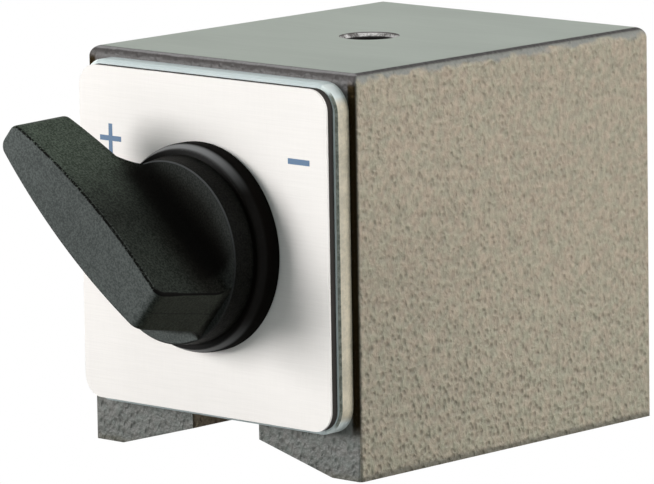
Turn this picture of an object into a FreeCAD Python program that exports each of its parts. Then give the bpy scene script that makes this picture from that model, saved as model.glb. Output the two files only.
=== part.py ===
import FreeCAD, Part
import math
import os
import re

import Sketcher
from FreeCAD import Placement, Rotation, Vector

# A switchable magnetic base. Millimetres, +X to the right, +Y to the back, +Z up.
# The origin lies under the middle of the steel block, level with its two feet.
# The lever and the rotor turn about an axis along Y through the middle of the chamber.

# Driving dimensions: alias, value, meaning
DIMENSIONS = [
    ("block_width", 50, "steel block, side to side"),
    ("block_depth", 60, "steel block, front to back"),
    ("block_height", 55, "steel block, feet to ground top"),
    ("foot_width", 5.3, "flat foot under each outer side"),
    ("slot_width", 12.5, "gap between the two poles"),
    ("vee_slope", 15, "degrees that each side of the vee rises"),
    ("lower_web", 6, "lower spacer between the open slot and the chamber"),
    ("top_radius", 1.5, "rounding of the upper edges"),
    ("corner_radius", 0.5, "rounding of the upright corners"),
    ("axis_height", 30, "rotor axis above the feet"),
    ("chamber_radius", 15, "bore through the block for the rotor"),
    ("thread_core", 6.8, "core diameter of the post thread"),
    ("thread_mouth", 8.4, "countersink diameter of the post thread"),
    ("thread_reach", 8.5, "depth of the post thread"),
    ("dowel_diameter", 3, "dowels that tie the poles and spacers"),
    ("dowel_reach", 4, "dowel length inside each pole"),
    ("dowel_inset", 12, "dowel centres from the front and back faces"),
    ("plate_side", 47.5, "front plate, square"),
    ("plate_thickness", 2.4, "front plate"),
    ("plate_corner", 4, "front plate corner radius"),
    ("plate_break", 0.3, "chamfer along the front plate's outer edge"),
    ("label_side", 46.2, "label and its pad, square"),
    ("label_corner", 3, "label corner radius"),
    ("pad_thickness", 1.0, "foam pad behind the label"),
    ("label_thickness", 0.3, "label sheet"),
    ("label_hole", 7.2, "radius of the hole in the label and its pad"),
    ("screw_radius", 1.5, "countersunk screws, thread radius"),
    ("head_radius", 2.8, "countersunk screws, head radius"),
    ("screw_length", 8, "countersunk screws, overall"),
    ("key_flats", 2, "hexagon socket across its flats"),
    ("key_reach", 1.1, "hexagon socket depth"),
    ("plate_screw_inset", 4.75, "plate screws from the plate's edges"),
    ("rotor_radius", 14.6, "rotor, outside"),
    ("hub_thickness", 3, "rotor end discs"),
    ("magnet_width", 10, "bar magnet along its poles"),
    ("magnet_height", 26, "bar magnet across its poles"),
    ("journal_radius", 5, "rotor journals"),
    ("journal_gap", 0.05, "running clearance of the journals"),
    ("bush_radius", 6.5, "bush barrels"),
    ("flange_radius", 9, "bush flanges"),
    ("flange_thickness", 1, "bush flanges"),
    ("bush_stand", 1.0, "front bush proud of the front plate"),
    ("washer_thickness", 0.6, "thrust washer"),
    ("washer_radius", 8.6, "thrust and spring washers, outside"),
    ("washer_gap", 0.5, "washers clear of the journals"),
    ("spring_height", 0.75, "spring washer, free height"),
    ("spring_sheet", 0.3, "spring washer, sheet"),
    ("end_play", 0.25, "rotor end play at each end"),
    ("cover_thickness", 4.5, "rear cover"),
    ("cover_break", 0.4, "chamfer round the rear cover"),
    ("cover_wall", 1.2, "rear cover behind its bush"),
    ("rotor_screw_circle", 11, "rotor screws from the axis"),
    ("rotor_screw_spread", 20, "degrees from the middle of each pair to a screw"),
    ("rotor_screw_lift", 10, "degrees by which the front pairs sit higher"),
    ("lever_angle", 50, "degrees that the lever leans left of upright at rest"),
    ("lever_travel", 100, "degrees of turn between the stops"),
    ("stop_circle", 11.8, "stop pin from the axis"),
    ("stop_radius", 1.25, "stop pin"),
    ("stop_gap", 0.3, "stop pin clear of its groove"),
    ("stop_seat", 1.6, "stop pin inside the front plate"),
    ("groove_reach", 2, "stop groove depth"),
    ("tang_width", 8, "drive tang along the lever"),
    ("tang_thickness", 4, "drive tang across the lever"),
    ("tang_reach", 14, "drive tang tip from the label"),
    ("clip_sheet", 0.35, "spring clip over the tang"),
    ("clip_width", 7, "spring clip along the lever"),
    ("socket_gap", 0.05, "knob socket clear of the clip and tang"),
    ("seal_ring", 1.2, "spindle seal, square section"),
    ("seal_gap", 0.35, "spindle seal clear of the front bush"),
    ("collar_gap", 0.15, "collar clear of the label"),
    ("collar_radius", 14.3, "collar, outside"),
    ("collar_band", 2.0, "height of the collar's straight band"),
    ("collar_crest", 13.6, "collar radius at its front rim"),
    ("collar_height", 3.6, "collar's front rim from the label"),
    ("collar_shoulder", 3, "rounding between the collar's band and slope"),
    ("collar_round", 0.25, "rounding of the collar's front rim"),
    ("knob_gap", 0.6, "knob skirt clear of the label"),
    ("skirt_radius", 12.4, "knob skirt inside the collar"),
    ("hub_base", 12.9, "knob hub radius at the collar"),
    ("hub_face", 12.5, "knob hub radius at its face"),
    ("hub_height", 6.9, "knob face from the label"),
    ("hub_round", 0.2, "rounding round the knob's face"),
    ("hub_wall", 1.8, "wall of the knob's skirt"),
    ("hub_roof", 1.7, "thickness of the knob's face"),
    ("boss_radius", 7.2, "boss inside the knob"),
    ("boss_recess", 1.5, "boss end from the label"),
    ("wing_height", 18.3, "wing's outer face from the label"),
    ("wing_tip", 24.6, "lever tip from the axis"),
    ("wing_end", 9.1, "wing's short end from the axis, at its outer face"),
    ("wing_end_draft", 2.8, "how much longer the short end is at the knob's face"),
    ("tip_half", 2.2, "half thickness of the wing at the tip"),
    ("end_half", 3.4, "half thickness of the wing at its short end"),
    ("wing_draft", 0.5, "how much thicker each side is at the knob's face"),
    ("wing_bow", 96, "radius of the wing's bowed sides"),
    ("wing_root", 7.2, "underside of the lever from the label, beside the hub"),
    ("lever_rise", 1.2, "how much further out the underside is at the tip"),
    ("wing_round", 0.55, "rounding of the wing's outer edges"),
    ("end_round", 1.7, "rounding between the outer face and the short end"),
    ("tip_round", 1.6, "rounding of the tip's corners"),
    ("tip_under", 1.0, "rounding under the tip"),
    ("valley_round", 2.2, "blend between the wing and the knob's face"),
]
VALUES = {alias: value for alias, value, meaning in DIMENSIONS}

doc = FreeCAD.newDocument("magnetic_base")
sheet = doc.addObject("Spreadsheet::Sheet", "Sizes")
for row, (alias, value, meaning) in enumerate(DIMENSIONS, start=1):
    sheet.set(f"A{row}", alias)
    sheet.set(f"B{row}", str(value))
    sheet.set(f"C{row}", meaning)
    sheet.setAlias(f"B{row}", alias)
doc.recompute()

parts = []

# Planes along the rotor axis, as formulas of the driving dimensions
BLOCK_FRONT = "(-block_depth / 2)"
BLOCK_BACK = "(block_depth / 2)"
PLATE_FRONT = f"({BLOCK_FRONT} - plate_thickness)"
LABEL_BACK = f"({PLATE_FRONT} - pad_thickness)"
LABEL_FRONT = f"({LABEL_BACK} - label_thickness)"
FRONT_FLANGE = f"({BLOCK_FRONT} + flange_thickness)"
FRONT_WASHER = f"({FRONT_FLANGE} + washer_thickness)"
FRONT_DISC = f"({FRONT_WASHER} + end_play)"
CORE_FRONT = f"({FRONT_DISC} + hub_thickness)"
COVER_INSIDE = f"({BLOCK_BACK} - cover_thickness)"
REAR_FLANGE = f"({COVER_INSIDE} - flange_thickness)"
REAR_DISC = f"({REAR_FLANGE} - spring_height - end_play)"
CORE_BACK = f"({REAR_DISC} - hub_thickness)"
VEE_RISE = "((block_width / 2 - foot_width - slot_width / 2) * tan(vee_slope))"
SLOT_SIDE = "(slot_width / 2)"
CHAMBER_FLOOR = "(axis_height - chamber_radius)"
CHAMBER_ROOF = "(axis_height + chamber_radius)"
SLOT_ROOF = f"({CHAMBER_FLOOR} - lower_web)"


def from_label(distance):
    """Place on the rotor axis that lies this far in front of the label."""
    return f"({LABEL_FRONT} - ({distance}))"


def formula(text):
    """A cell formula: each alias in the text refers to the sheet."""
    return re.sub(r"[a-z][a-z_]+", lambda word: f"Sizes.{word[0]}" if word[0] in VALUES else word[0], text)


def number(text):
    return float(sheet.evalExpression(formula(text)))


def bind(thing, prop, text):
    thing.setExpression(prop, formula(text))


def place(thing, x="0", y="0", z="0"):
    bind(thing, "Placement.Base.x", x)
    bind(thing, "Placement.Base.y", y)
    bind(thing, "Placement.Base.z", z)


def keep(thing, label):
    thing.Label = label
    parts.append(thing)
    return thing


# Sketches and features


def new_body(label, height="0", leaning=False):
    """An empty body. A leaning one has its own Z along the lever."""
    body = doc.addObject("PartDesign::Body", label)
    if leaning:
        body.Placement = Placement(Vector(), Rotation(Vector(0, -1, 0), VALUES["lever_angle"]))
        bind(body, "Placement.Rotation.Angle", "lever_angle * 1 deg")
    bind(body, "Placement.Base.z", height)
    return keep(body, label)


def new_sketch(body, role, offset="0"):
    """A sketch on one of the body's own planes, moved along the plane's normal."""
    sketch = body.newObject("Sketcher::SketchObject", f"{body.Name}_sketch")
    plane = next(item for item in body.Origin.OriginFeatures if item.Role == role)
    sketch.AttachmentSupport = [(plane, "")]
    sketch.MapMode = "FlatFace"
    bind(sketch, "AttachmentOffset.Base.z", offset)
    return sketch


def front_sketch(body, y):
    """A sketch seen from the front, in the plane at y: its own axes are X and Z."""
    return new_sketch(body, "XZ_Plane", f"-({y})")


def pin_point(sketch, geometry, point, x, y):
    """Bind one point of a sketch to two formulas."""
    for kind, text in (("DistanceX", x), ("DistanceY", y)):
        index = sketch.addConstraint(Sketcher.Constraint(kind, -1, 1, geometry, point, number(text)))
        bind(sketch, f"Constraints[{index}]", text)


def outline(sketch, corners):
    """A closed outline of straight lines between corners given as formulas."""
    first = sketch.GeometryCount
    places = [Vector(number(x), number(y), 0) for x, y in corners]
    count = len(corners)
    for i in range(count):
        sketch.addGeometry(Part.LineSegment(places[i], places[(i + 1) % count]))
    for i in range(count):
        sketch.addConstraint(Sketcher.Constraint("Coincident", first + i, 2, first + (i + 1) % count, 1))
        pin_point(sketch, first + i, 1, *corners[i])
    return sketch


def rectangle(sketch, left, right, low, high):
    return outline(sketch, [(left, low), (right, low), (right, high), (left, high)])


def circles(sketch, centres, radius):
    """Circles of one radius round centres given as formulas."""
    for x, y in centres:
        circle = Part.Circle(Vector(number(x), number(y), 0), Vector(0, 0, 1), number(radius))
        index = sketch.addGeometry(circle)
        pin_point(sketch, index, 3, x, y)
        size = sketch.addConstraint(Sketcher.Constraint("Radius", index, number(radius)))
        bind(sketch, f"Constraints[{size}]", radius)
    return sketch


def arc_outline(sketch, corners, bows):
    """A closed outline whose side i is straight, or bows outwards with the radius bows[i]."""
    places = [Vector(number(x), number(y), 0) for x, y in corners]
    count = len(corners)
    for i in range(count):
        start, end = places[i], places[(i + 1) % count]
        if i not in bows:
            sketch.addGeometry(Part.LineSegment(start, end))
            continue
        radius = number(bows[i])
        chord = end - start
        outward = Vector(chord.y, -chord.x, 0).normalize()
        sag = radius - math.sqrt(radius**2 - chord.Length**2 / 4)
        sketch.addGeometry(Part.Arc(start, (start + end) / 2 + outward * sag, end))
    for i in range(count):
        sketch.addConstraint(Sketcher.Constraint("Coincident", i, 2, (i + 1) % count, 1))
        pin_point(sketch, i, 1, *corners[i])
    for i, bow in bows.items():
        size = sketch.addConstraint(Sketcher.Constraint("Radius", i, number(bow)))
        bind(sketch, f"Constraints[{size}]", bow)
    return sketch


def feature(body, kind, sketch, **formulas):
    item = body.newObject(f"PartDesign::{kind}", f"{body.Name}_{kind.lower()}")
    item.Profile = sketch
    for prop, text in formulas.items():
        bind(item, prop, text)
    return item


def pad(body, sketch, length, backwards=True):
    """Front sketches grow backwards, that is along +Y, unless told otherwise."""
    item = feature(body, "Pad", sketch, Length=length)
    item.Reversed = backwards
    return item


def pocket(body, sketch, length, forwards=False):
    """Front sketches cut backwards, that is along +Y, unless told otherwise."""
    item = feature(body, "Pocket", sketch, Length=length)
    item.Reversed = forwards
    return item


def turned(label, section):
    """A round piece about the rotor axis, from half of its section as (radius, y)."""
    body = new_body(label, "axis_height")
    item = feature(body, "Revolution", outline(new_sketch(body, "XY_Plane"), section))
    item.ReferenceAxis = (item.Profile[0], ["V_Axis"])
    return body


def edges_where(item, test):
    """Names of the edges whose two ends and middle all pass the test."""
    doc.recompute()
    names = []
    for index, edge in enumerate(item.Shape.Edges, start=1):
        first, last = edge.ParameterRange
        points = [edge.valueAt(first), edge.valueAt((first + last) / 2), edge.valueAt(last)]
        if all(test(point) for point in points):
            names.append(f"Edge{index}")
    return names


def dress(body, kind, test, prop, text):
    """A fillet or chamfer on the edges of the body's last feature that pass the test."""
    base = body.Tip
    names = edges_where(base, test)
    item = body.newObject(f"PartDesign::{kind}", f"{body.Name}_{kind.lower()}")
    item.Base = (base, names)
    bind(item, prop, text)
    return item


def near(value, text):
    return abs(value - number(text)) < 1e-4


# Countersunk screws, which go in along +Y, or along -Y from the back


def screw_group(label, seats, from_back=False):
    """One countersunk screw with a hexagon socket for each seat (x, y, z) of its head."""
    turn = Rotation(Vector(1, 0, 0), 90 if from_back else -90)
    screws = []
    for index, seat in enumerate(seats, start=1):
        name = f"{label}_{index}"
        shank = doc.addObject("Part::Cylinder", f"{name}_shank")
        bind(shank, "Radius", "screw_radius")
        bind(shank, "Height", "screw_length")
        head = doc.addObject("Part::Cone", f"{name}_head")
        bind(head, "Radius1", "head_radius")
        bind(head, "Radius2", "screw_radius")
        bind(head, "Height", "head_radius - screw_radius")
        key = doc.addObject("Part::Prism", f"{name}_key")
        key.Polygon = 6
        bind(key, "Circumradius", "key_flats / sqrt(3)")
        bind(key, "Height", "key_reach")
        blank = doc.addObject("Part::Fuse", f"{name}_blank")
        blank.Base = shank
        blank.Tool = head
        screw = doc.addObject("Part::Cut", name)
        screw.Base = blank
        screw.Tool = key
        screw.Placement = Placement(Vector(), turn)
        place(screw, *seat)
        screws.append(screw)
    group = doc.addObject("Part::Compound", label)
    group.Links = screws
    return keep(group, label)


def screw_holes(body, centres, y, depth, from_back=False, sunk=True):
    """Holes for the screws, countersunk where the head sits."""
    sketch = circles(front_sketch(body, y), centres, "screw_radius")
    pocket(body, sketch, depth, forwards=from_back)
    if not sunk:
        return
    mouth = number(y)
    rims = [Vector(number(x), mouth, number(z)) for x, z in centres]
    reach = number("screw_radius") + 1e-4

    def on_rim(point):
        return abs(point.y - mouth) < 1e-4 and any((point - rim).Length < reach for rim in rims)

    dress(body, "Chamfer", on_rim, "Size", "head_radius - screw_radius")


# Steel block: two soft-iron poles held apart by non-magnetic spacers


def round_top(body):
    """The ground top keeps its flat; its outer edges are rounded before painting."""
    half_width = number("block_width / 2")
    half_depth = number("block_depth / 2")

    def upper_edge(point):
        outside = abs(abs(point.x) - half_width) < 1e-4 or abs(abs(point.y) - half_depth) < 1e-4
        return outside and near(point.z, "block_height")

    dress(body, "Fillet", upper_edge, "Radius", "top_radius")


def dowel_centres(height):
    """Two dowels at one height, as (y, z)."""
    return [(f"{end} * (block_depth / 2 - dowel_inset)", height) for end in (-1, 1)]


TOP_DOWEL_HEIGHT = f"(({CHAMBER_ROOF} + block_height) / 2)"
LOW_DOWEL_HEIGHT = f"({CHAMBER_FLOOR} - lower_web / 2)"
PLATE_SCREW = "(plate_side / 2 - plate_screw_inset)"
PLATE_CORNERS = [(f"{side} * {PLATE_SCREW}", f"axis_height + {level} * {PLATE_SCREW}")
                 for side in (-1, 1) for level in (-1, 1)]


def make_pole(label, side):
    """One pole: foot, sloping underside, half of the chamber, rounded outer edges."""
    body = new_body(label)
    section = [
        (f"{side} * {SLOT_SIDE}", "block_height"),
        (f"{side} * block_width / 2", "block_height"),
        (f"{side} * block_width / 2", "0"),
        (f"{side} * (block_width / 2 - foot_width)", "0"),
        (f"{side} * {SLOT_SIDE}", VEE_RISE),
    ]
    pad(body, outline(front_sketch(body, BLOCK_FRONT), section), "block_depth")
    chamber = circles(front_sketch(body, BLOCK_FRONT), [("0", "axis_height")], "chamber_radius")
    pocket(body, chamber, "block_depth")
    round_top(body)
    half_width = number("block_width / 2")
    half_depth = number("block_depth / 2")

    def upright_corner(point):
        return abs(abs(point.x) - half_width) < 1e-4 and abs(abs(point.y) - half_depth) < 1e-4

    dress(body, "Fillet", upright_corner, "Radius", "corner_radius")
    for height in (TOP_DOWEL_HEIGHT, LOW_DOWEL_HEIGHT):
        sketch = new_sketch(body, "YZ_Plane", f"{side} * {SLOT_SIDE}")
        circles(sketch, dowel_centres(height), "dowel_diameter / 2")
        pocket(body, sketch, "dowel_reach", forwards=side > 0)
    own_corners = [centre for centre in PLATE_CORNERS if number(centre[0]) * side > 0]
    depth = "screw_length - plate_thickness"
    screw_holes(body, own_corners, BLOCK_FRONT, depth, sunk=False)
    return body


def make_spacer(label, low, high):
    """A bar that fills the gap between the poles, hollowed where the chamber passes."""
    body = new_body(label)
    section = rectangle(front_sketch(body, BLOCK_FRONT), f"-{SLOT_SIDE}", SLOT_SIDE, low, high)
    pad(body, section, "block_depth")
    chamber = circles(front_sketch(body, BLOCK_FRONT), [("0", "axis_height")], "chamber_radius")
    pocket(body, chamber, "block_depth")
    return body


def drill_spacer(body, height):
    """Cross holes for the two dowels."""
    sketch = new_sketch(body, "YZ_Plane", f"-{SLOT_SIDE}")
    circles(sketch, dowel_centres(height), "dowel_diameter / 2")
    pocket(body, sketch, "slot_width", forwards=True)


def make_top_spacer():
    """The upper spacer holds the whole post thread, on the middle of the top."""
    body = make_spacer("top_spacer", "axis_height", "block_height")
    round_top(body)
    drill_spacer(body, TOP_DOWEL_HEIGHT)
    mouth = circles(new_sketch(body, "XY_Plane", "block_height"), [("0", "0")], "thread_core / 2")
    pocket(body, mouth, "thread_reach")

    def thread_rim(point):
        rim = number("thread_core / 2") + 1e-4
        return near(point.z, "block_height") and math.hypot(point.x, point.y) < rim

    dress(body, "Chamfer", thread_rim, "Size", "(thread_mouth - thread_core) / 2")


def make_dowels(label, height):
    """Two dowels across the gap, each reaching into both poles."""
    dowels = []
    for index, (y, z) in enumerate(dowel_centres(height), start=1):
        dowel = doc.addObject("Part::Cylinder", f"{label}_{index}")
        bind(dowel, "Radius", "dowel_diameter / 2")
        bind(dowel, "Height", "slot_width + 2 * dowel_reach")
        dowel.Placement = Placement(Vector(), Rotation(Vector(0, 1, 0), 90))
        place(dowel, f"-({SLOT_SIDE} + dowel_reach)", y, z)
        dowels.append(dowel)
    group = doc.addObject("Part::Compound", label)
    group.Links = dowels
    keep(group, label)


make_pole("left_pole", -1)
make_pole("right_pole", 1)
make_top_spacer()
drill_spacer(make_spacer("lower_spacer", SLOT_ROOF, "axis_height"), LOW_DOWEL_HEIGHT)
make_dowels("top_dowels", TOP_DOWEL_HEIGHT)
make_dowels("lower_dowels", LOW_DOWEL_HEIGHT)

# Front: a die-cast plate screwed to the poles, a foam pad and a printed sheet over the screws


def square_sheet(label, side, corner, y, thickness):
    """A square with rounded corners, centred on the rotor axis."""
    body = new_body(label, "axis_height")
    half = f"({side} / 2)"
    sketch = rectangle(front_sketch(body, y), f"-{half}", half, f"-{half}", half)
    pad(body, sketch, thickness)
    reach = number(half)

    def upright(point):
        return abs(abs(point.x) - reach) < 1e-4 and abs(abs(point.z) - reach) < 1e-4

    dress(body, "Fillet", upright, "Radius", corner)
    return body


def make_front_plate():
    body = square_sheet("front_plate", "plate_side", "plate_corner", PLATE_FRONT, "plate_thickness")
    dress(body, "Chamfer", lambda point: near(point.y, PLATE_FRONT), "Size", "plate_break")
    bush_hole = circles(front_sketch(body, PLATE_FRONT), [("0", "0")], "bush_radius")
    pocket(body, bush_hole, "plate_thickness")
    corners = [(f"{side} * {PLATE_SCREW}", f"{level} * {PLATE_SCREW}")
               for side in (-1, 1) for level in (-1, 1)]
    screw_holes(body, corners, PLATE_FRONT, "plate_thickness")
    pin_hole = circles(front_sketch(body, BLOCK_FRONT), [STOP_CENTRE], "stop_radius")
    pocket(body, pin_hole, "stop_seat", forwards=True)


def make_label_sheet(label, back, thickness):
    front = f"({back} - {thickness})"
    body = square_sheet(label, "label_side", "label_corner", front, thickness)
    hole = circles(front_sketch(body, front), [("0", "0")], "label_hole")
    pocket(body, hole, thickness)


# The stop pin stands behind the front plate, below the axis, where the turn ends with the
# lever leaning equally far to the right
STOP_ANGLE = "(180 + lever_travel / 2)"
STOP_CENTRE = (f"stop_circle * sin({STOP_ANGLE})", f"stop_circle * cos({STOP_ANGLE})")


def make_stop_pin():
    body = new_body("stop_pin", "axis_height")
    tip = f"({FRONT_DISC} + groove_reach - stop_gap)"
    start = f"({BLOCK_FRONT} - stop_seat)"
    pad(body, circles(front_sketch(body, start), [STOP_CENTRE], "stop_radius"), f"{tip} - {start}")


make_front_plate()
seats = [(x, PLATE_FRONT, z) for x, z in PLATE_CORNERS]
screw_group("plate_screws", seats)
make_stop_pin()
make_label_sheet("label_pad", PLATE_FRONT, "pad_thickness")
make_label_sheet("label_plate", LABEL_BACK, "label_thickness")

# Bearings: flanged bushes in the front plate and the rear cover, with washers for the end play

BUSH_BORE = "(journal_radius + journal_gap)"
WASHER_BORE = "(journal_radius + washer_gap)"
BUSH_TIP = f"({PLATE_FRONT} - bush_stand)"
turned("front_bush", [
    (BUSH_BORE, BUSH_TIP),
    ("bush_radius", BUSH_TIP),
    ("bush_radius", BLOCK_FRONT),
    ("flange_radius", BLOCK_FRONT),
    ("flange_radius", FRONT_FLANGE),
    (BUSH_BORE, FRONT_FLANGE),
])
turned("thrust_washer", [
    (WASHER_BORE, FRONT_FLANGE),
    ("washer_radius", FRONT_FLANGE),
    ("washer_radius", FRONT_WASHER),
    (WASHER_BORE, FRONT_WASHER),
])
COVER_POCKET = f"({BLOCK_BACK} - cover_wall)"
rear_cover = turned("rear_cover", [
    ("0", BLOCK_BACK),
    ("chamber_radius", BLOCK_BACK),
    ("chamber_radius", COVER_INSIDE),
    ("bush_radius", COVER_INSIDE),
    ("bush_radius", COVER_POCKET),
    ("0", COVER_POCKET),
])
dress(rear_cover, "Chamfer", lambda point: near(point.y, BLOCK_BACK), "Size", "cover_break")
turned("rear_bush", [
    (BUSH_BORE, REAR_FLANGE),
    ("flange_radius", REAR_FLANGE),
    ("flange_radius", COVER_INSIDE),
    ("bush_radius", COVER_INSIDE),
    ("bush_radius", COVER_POCKET),
    (BUSH_BORE, COVER_POCKET),
])
turned("spring_washer", [
    ("washer_radius", REAR_FLANGE),
    ("washer_radius", f"{REAR_FLANGE} - spring_sheet"),
    (WASHER_BORE, f"{REAR_FLANGE} - spring_height"),
    (WASHER_BORE, f"{REAR_FLANGE} - spring_height + spring_sheet"),
])

# Rotor: a bar magnet between two soft-iron shoes, clamped by brass end discs


def shoe_screws(side, lift):
    """Screw centres in one shoe, as (x, z) from the axis. Angles run clockwise from upright."""
    middle = f"(90 - {lift})"
    angles = [f"({middle} {sign} rotor_screw_spread)" for sign in "-+"]
    return [(f"{side} * rotor_screw_circle * sin({angle})", f"rotor_screw_circle * cos({angle})")
            for angle in angles]


FRONT_SCREWS = {side: shoe_screws(side, "rotor_screw_lift") for side in (-1, 1)}
REAR_SCREWS = {side: shoe_screws(side, "0") for side in (-1, 1)}
SHOE_THREAD = "screw_length - hub_thickness"


def make_magnet():
    body = new_body("magnet", "axis_height")
    half_width = "(magnet_width / 2)"
    half_height = "(magnet_height / 2)"
    sketch = front_sketch(body, CORE_FRONT)
    rectangle(sketch, f"-{half_width}", half_width, f"-{half_height}", half_height)
    pad(body, sketch, f"{CORE_BACK} - {CORE_FRONT}")


def make_shoe(label, side):
    """A segment of the rotor's round, flat where the magnet lies."""
    body = new_body(label, "axis_height")
    length = f"{CORE_BACK} - {CORE_FRONT}"
    pad(body, circles(front_sketch(body, CORE_FRONT), [("0", "0")], "rotor_radius"), length)
    flat, beyond = f"{side} * magnet_width / 2", f"-{side} * (rotor_radius + 1)"
    left, right = (beyond, flat) if side > 0 else (flat, beyond)
    rest = front_sketch(body, CORE_FRONT)
    rectangle(rest, left, right, "-(rotor_radius + 1)", "rotor_radius + 1")
    pocket(body, rest, length)
    screw_holes(body, FRONT_SCREWS[side], CORE_FRONT, SHOE_THREAD, sunk=False)
    screw_holes(body, REAR_SCREWS[side], CORE_BACK, SHOE_THREAD, from_back=True, sunk=False)


def lever_point(along, across):
    """A point of the rotor given along and across the lever, as (x, z) from the axis."""
    x = f"-({along}) * sin(lever_angle) - ({across}) * cos(lever_angle)"
    z = f"({along}) * cos(lever_angle) - ({across}) * sin(lever_angle)"
    return x, z


def make_drive_spindle():
    """Front end disc, journal and the flat tang that drives the knob, in one brass piece."""
    shoulder = from_label("boss_recess")
    body = turned("drive_spindle", [
        ("0", CORE_FRONT),
        ("rotor_radius", CORE_FRONT),
        ("rotor_radius", FRONT_DISC),
        ("journal_radius", FRONT_DISC),
        ("journal_radius", shoulder),
        ("0", shoulder),
    ])
    half_along, half_across = "tang_width / 2", "tang_thickness / 2"
    corners = [(f"-{half_along}", f"-{half_across}"), (half_along, f"-{half_across}"),
               (half_along, half_across), (f"-{half_along}", half_across)]
    tang = outline(front_sketch(body, shoulder), [lever_point(*corner) for corner in corners])
    pad(body, tang, "tang_reach - boss_recess", backwards=False)
    screw_holes(body, FRONT_SCREWS[-1] + FRONT_SCREWS[1], FRONT_DISC, "hub_thickness")
    cut_stop_groove(body)


def cut_stop_groove(body):
    """The curved groove that the stop pin runs in, with both ends clear of the pin."""
    sketch = new_sketch(body, "YZ_Plane")
    half = "(stop_radius + stop_gap)"
    floor = f"{FRONT_DISC} + groove_reach"
    rectangle(sketch, FRONT_DISC, floor, f"-(stop_circle + {half})", f"-(stop_circle - {half})")
    spread = f"lever_travel * 1 deg + 2 * asin({half} / stop_circle)"
    groove = feature(body, "Groove", sketch, Angle=spread)
    groove.ReferenceAxis = (sketch, ["H_Axis"])
    groove.Midplane = True


def make_rear_journal():
    """Rear end disc with its journal, in one brass piece."""
    tip = f"({COVER_POCKET} - end_play - spring_sheet)"
    body = turned("rear_journal", [
        ("0", CORE_BACK),
        ("rotor_radius", CORE_BACK),
        ("rotor_radius", REAR_DISC),
        ("journal_radius", REAR_DISC),
        ("journal_radius", tip),
        ("0", tip),
    ])
    centres = REAR_SCREWS[-1] + REAR_SCREWS[1]
    screw_holes(body, centres, REAR_DISC, "hub_thickness", from_back=True)


def rotor_seats(centres, y):
    return [(x, y, f"axis_height + {z}") for x, z in centres]


make_magnet()
make_shoe("left_shoe", -1)
make_shoe("right_shoe", 1)
make_drive_spindle()
make_rear_journal()
screw_group("front_rotor_screws", rotor_seats(FRONT_SCREWS[-1] + FRONT_SCREWS[1], FRONT_DISC))
screw_group("rear_rotor_screws", rotor_seats(REAR_SCREWS[-1] + REAR_SCREWS[1], REAR_DISC), from_back=True)

# Knob: a moulded hub and lever in one piece, over a collar, pushed onto the tang with a clip


def make_seal():
    """A rubber ring round the journal, between the front bush and the knob's boss."""
    back = f"({BUSH_TIP} - seal_gap)"
    inner, outer = "journal_radius", "journal_radius + seal_ring"
    section = [(inner, back), (outer, back), (outer, f"{back} - seal_ring"), (inner, f"{back} - seal_ring")]
    turned("spindle_seal", section)


def make_collar():
    """Round skirt between the label and the knob: a straight band, then a slope to the rim."""
    section = [
        ("skirt_radius", "collar_gap"),
        ("collar_radius", "collar_gap"),
        ("collar_radius", "collar_gap + collar_band"),
        ("collar_crest", "collar_height"),
        ("skirt_radius", "collar_height"),
    ]
    collar = turned("knob_collar", [(radius, from_label(distance)) for radius, distance in section])
    shoulder = from_label("collar_gap + collar_band")
    rim = from_label("collar_height")
    inside = number("skirt_radius") + 1e-4
    dress(collar, "Fillet", lambda point: near(point.y, shoulder), "Radius", "collar_shoulder")
    dress(collar, "Fillet", lambda point: near(point.y, rim) and math.hypot(point.x, point.z) > inside,
          "Radius", "collar_round")


def make_clip():
    """A spring-steel channel over the tang's tip, which holds the knob on."""
    body = new_body("knob_clip", "axis_height", leaning=True)
    inner = "(tang_thickness / 2)"
    outer = f"({inner} + clip_sheet)"
    foot = from_label("boss_recess + clip_sheet")
    bridge = from_label("tang_reach")
    crown = from_label("tang_reach + clip_sheet")
    section = [(outer, foot), (outer, crown), (f"-{outer}", crown), (f"-{outer}", foot),
               (f"-{inner}", foot), (f"-{inner}", bridge), (inner, bridge), (inner, foot)]
    sketch = outline(new_sketch(body, "XY_Plane", "-clip_width / 2"), section)
    pad(body, sketch, "clip_width", backwards=False)


def wing_outline(body, distance, end, tip, draft):
    """The wing seen from the front at one distance from the label, with bowed sides."""
    end_half = f"(end_half + {draft})"
    tip_half = f"(tip_half + {draft})"
    corners = [(f"-{end_half}", end), (end_half, end), (tip_half, tip), (f"-{tip_half}", tip)]
    sketch = front_sketch(body, from_label(distance))
    return arc_outline(sketch, corners, {1: "wing_bow", 3: "wing_bow"})


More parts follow.
